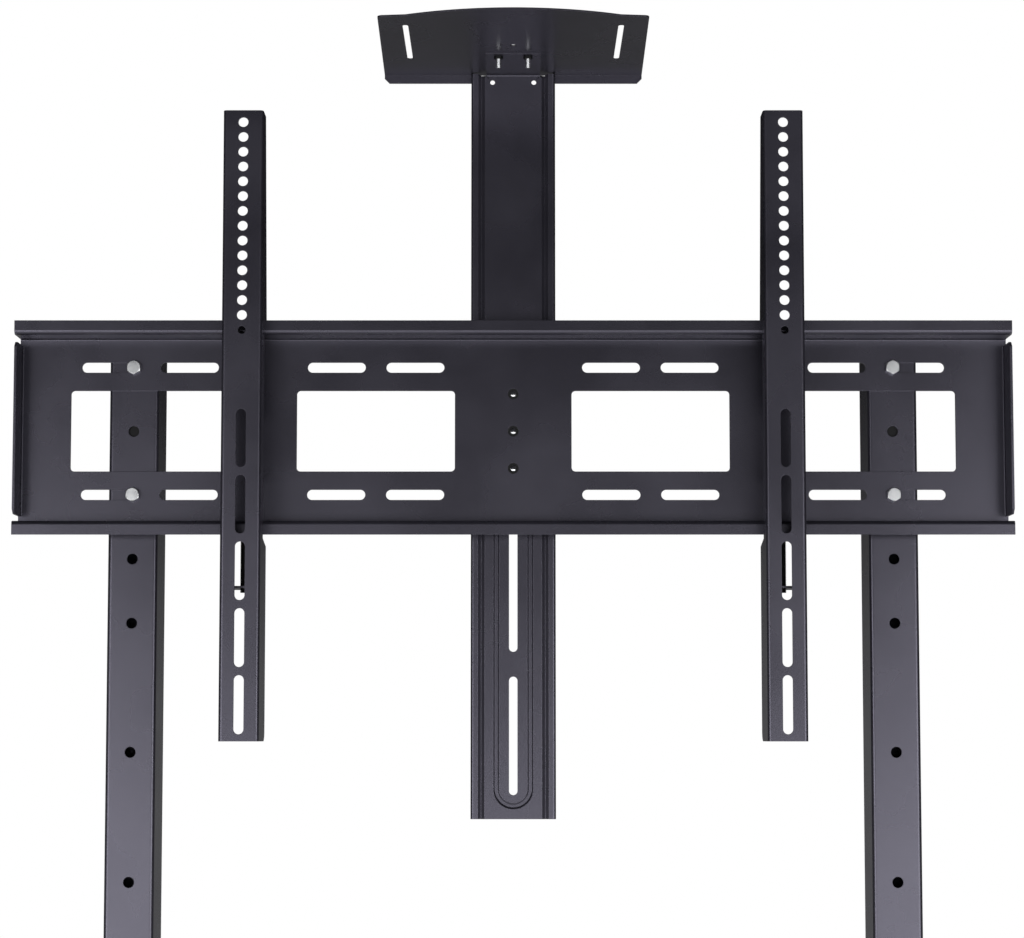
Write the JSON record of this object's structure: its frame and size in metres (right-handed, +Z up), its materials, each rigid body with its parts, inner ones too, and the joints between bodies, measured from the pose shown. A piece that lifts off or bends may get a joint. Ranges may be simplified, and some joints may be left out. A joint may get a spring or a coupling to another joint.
{
  "type": "mobile tv stand",
  "caption": "Rolling stand on two posts: a wide slotted plate with two sliding upright arms for a screen, and a height-adjustable mast with a small tray above it.",
  "frame": {"origin": "on the floor, midway between the four wheels", "axes": "+X to the right as seen from the screen side, +Y to the back, +Z up"},
  "size_m": [1.003, 0.7, 1.7725],
  "materials": {
    "black_coating": "satin",
    "zinc_steel": "bright zinc",
    "black_steel": "black oxide",
    "black_plastic": "matt",
    "wheel_plastic": "matt",
    "tyre_rubber": "matt",
    "brake_plastic": "semi-gloss"
  },
  "bodies": {
    "stand": {"left_post": "black_coating", "right_post": "black_coating", "left_post_cap": "black_plastic", "right_post_cap": "black_plastic", "left_nut_bar": "black_steel", "right_nut_bar": "black_steel", "mounting_plate": "black_coating", "clinch_nuts": "black_steel", "plate_bolts": "zinc_steel", "mast_bolts": "zinc_steel", "mast_washers": "zinc_steel", "left_leg": "black_coating", "right_leg": "black_coating", "foot_bolts": "zinc_steel", "crossbar": "black_coating", "crossbar_bolts": "zinc_steel", "swivel_bearings": "zinc_steel", "front_left_leg_cap": "black_plastic", "front_left_caster_stem": "zinc_steel", "front_right_leg_cap": "black_plastic", "front_right_caster_stem": "zinc_steel", "rear_left_leg_cap": "black_plastic", "rear_left_caster_stem": "zinc_steel", "rear_right_leg_cap": "black_plastic", "rear_right_caster_stem": "zinc_steel"},
    "mast_and_tray": {"mast": "black_coating", "tray": "black_coating", "tray_studs": "zinc_steel", "tray_nuts": "black_steel"},
    "left_arm_set": {"left_arm": "black_coating", "left_lock_bracket": "black_coating"},
    "left_lock": {"left_lock_screw": "black_steel"},
    "right_arm_set": {"right_arm": "black_coating", "right_lock_bracket": "black_coating"},
    "right_lock": {"right_lock_screw": "black_steel"},
    "front_left_caster": {"front_left_caster_fork": "zinc_steel", "front_left_caster_axle": "zinc_steel"},
    "front_left_rolling_wheel": {"front_left_wheel": "wheel_plastic", "front_left_tyre": "tyre_rubber"},
    "front_left_brake": {"front_left_brake_pedal": "brake_plastic"},
    "front_right_caster": {"front_right_caster_fork": "zinc_steel", "front_right_caster_axle": "zinc_steel"},
    "front_right_rolling_wheel": {"front_right_wheel": "wheel_plastic", "front_right_tyre": "tyre_rubber"},
    "front_right_brake": {"front_right_brake_pedal": "brake_plastic"},
    "rear_left_caster": {"rear_left_caster_fork": "zinc_steel", "rear_left_caster_axle": "zinc_steel"},
    "rear_left_rolling_wheel": {"rear_left_wheel": "wheel_plastic", "rear_left_tyre": "tyre_rubber"},
    "rear_left_brake": {"rear_left_brake_pedal": "brake_plastic"},
    "rear_right_caster": {"rear_right_caster_fork": "zinc_steel", "rear_right_caster_axle": "zinc_steel"},
    "rear_right_rolling_wheel": {"rear_right_wheel": "wheel_plastic", "rear_right_tyre": "tyre_rubber"},
    "rear_right_brake": {"rear_right_brake_pedal": "brake_plastic"}
  },
  "joints": [
    {"name": "mast_height", "type": "slide", "parent": "stand", "child": "mast_and_tray", "axis": [0, 0, 1], "range_m": [-0.025, 0.175]},
    {"name": "left_arm_slide", "type": "slide", "parent": "stand", "child": "left_arm_set", "axis": [-1, 0, 0], "range_m": [-0.17, 0.18]},
    {"name": "left_lock_travel", "type": "slide", "parent": "left_arm_set", "child": "left_lock", "axis": [0, 0, -1], "range_m": [0, 0.01]},
    {"name": "right_arm_slide", "type": "slide", "parent": "stand", "child": "right_arm_set", "axis": [1, 0, 0], "range_m": [-0.17, 0.18]},
    {"name": "right_lock_travel", "type": "slide", "parent": "right_arm_set", "child": "right_lock", "axis": [0, 0, -1], "range_m": [0, 0.01]},
    {"name": "front_left_swivel", "type": "hinge", "parent": "stand", "child": "front_left_caster", "pos_m": [-0.3855, -0.255, 0.0865], "axis": [0, 0, 1], "continuous": true},
    {"name": "front_left_roll", "type": "hinge", "parent": "front_left_caster", "child": "front_left_rolling_wheel", "pos_m": [-0.3855, -0.281, 0.0375], "axis": [1, 0, 0], "continuous": true},
    {"name": "front_left_brake_press", "type": "hinge", "parent": "front_left_caster", "child": "front_left_brake", "pos_m": [-0.3855, -0.295, 0.079], "axis": [1, 0, 0], "range_deg": [0, 9.4]},
    {"name": "front_right_swivel", "type": "hinge", "parent": "stand", "child": "front_right_caster", "pos_m": [0.3855, -0.255, 0.0865], "axis": [0, 0, 1], "continuous": true},
    {"name": "front_right_roll", "type": "hinge", "parent": "front_right_caster", "child": "front_right_rolling_wheel", "pos_m": [0.3855, -0.281, 0.0375], "axis": [1, 0, 0], "continuous": true},
    {"name": "front_right_brake_press", "type": "hinge", "parent": "front_right_caster", "child": "front_right_brake", "pos_m": [0.3855, -0.295, 0.079], "axis": [1, 0, 0], "range_deg": [0, 9.4]},
    {"name": "rear_left_swivel", "type": "hinge", "parent": "stand", "child": "rear_left_caster", "pos_m": [-0.3855, 0.255, 0.0865], "axis": [0, 0, 1], "continuous": true},
    {"name": "rear_left_roll", "type": "hinge", "parent": "rear_left_caster", "child": "rear_left_rolling_wheel", "pos_m": [-0.3855, 0.281, 0.0375], "axis": [1, 0, 0], "continuous": true},
    {"name": "rear_left_brake_press", "type": "hinge", "parent": "rear_left_caster", "child": "rear_left_brake", "pos_m": [-0.3855, 0.295, 0.079], "axis": [-1, 0, 0], "range_deg": [0, 9.4]},
    {"name": "rear_right_swivel", "type": "hinge", "parent": "stand", "child": "rear_right_caster", "pos_m": [0.3855, 0.255, 0.0865], "axis": [0, 0, 1], "continuous": true},
    {"name": "rear_right_roll", "type": "hinge", "parent": "rear_right_caster", "child": "rear_right_rolling_wheel", "pos_m": [0.3855, 0.281, 0.0375], "axis": [1, 0, 0], "continuous": true},
    {"name": "rear_right_brake_press", "type": "hinge", "parent": "rear_right_caster", "child": "rear_right_brake", "pos_m": [0.3855, 0.295, 0.079], "axis": [-1, 0, 0], "range_deg": [0, 9.4]}
  ]
}
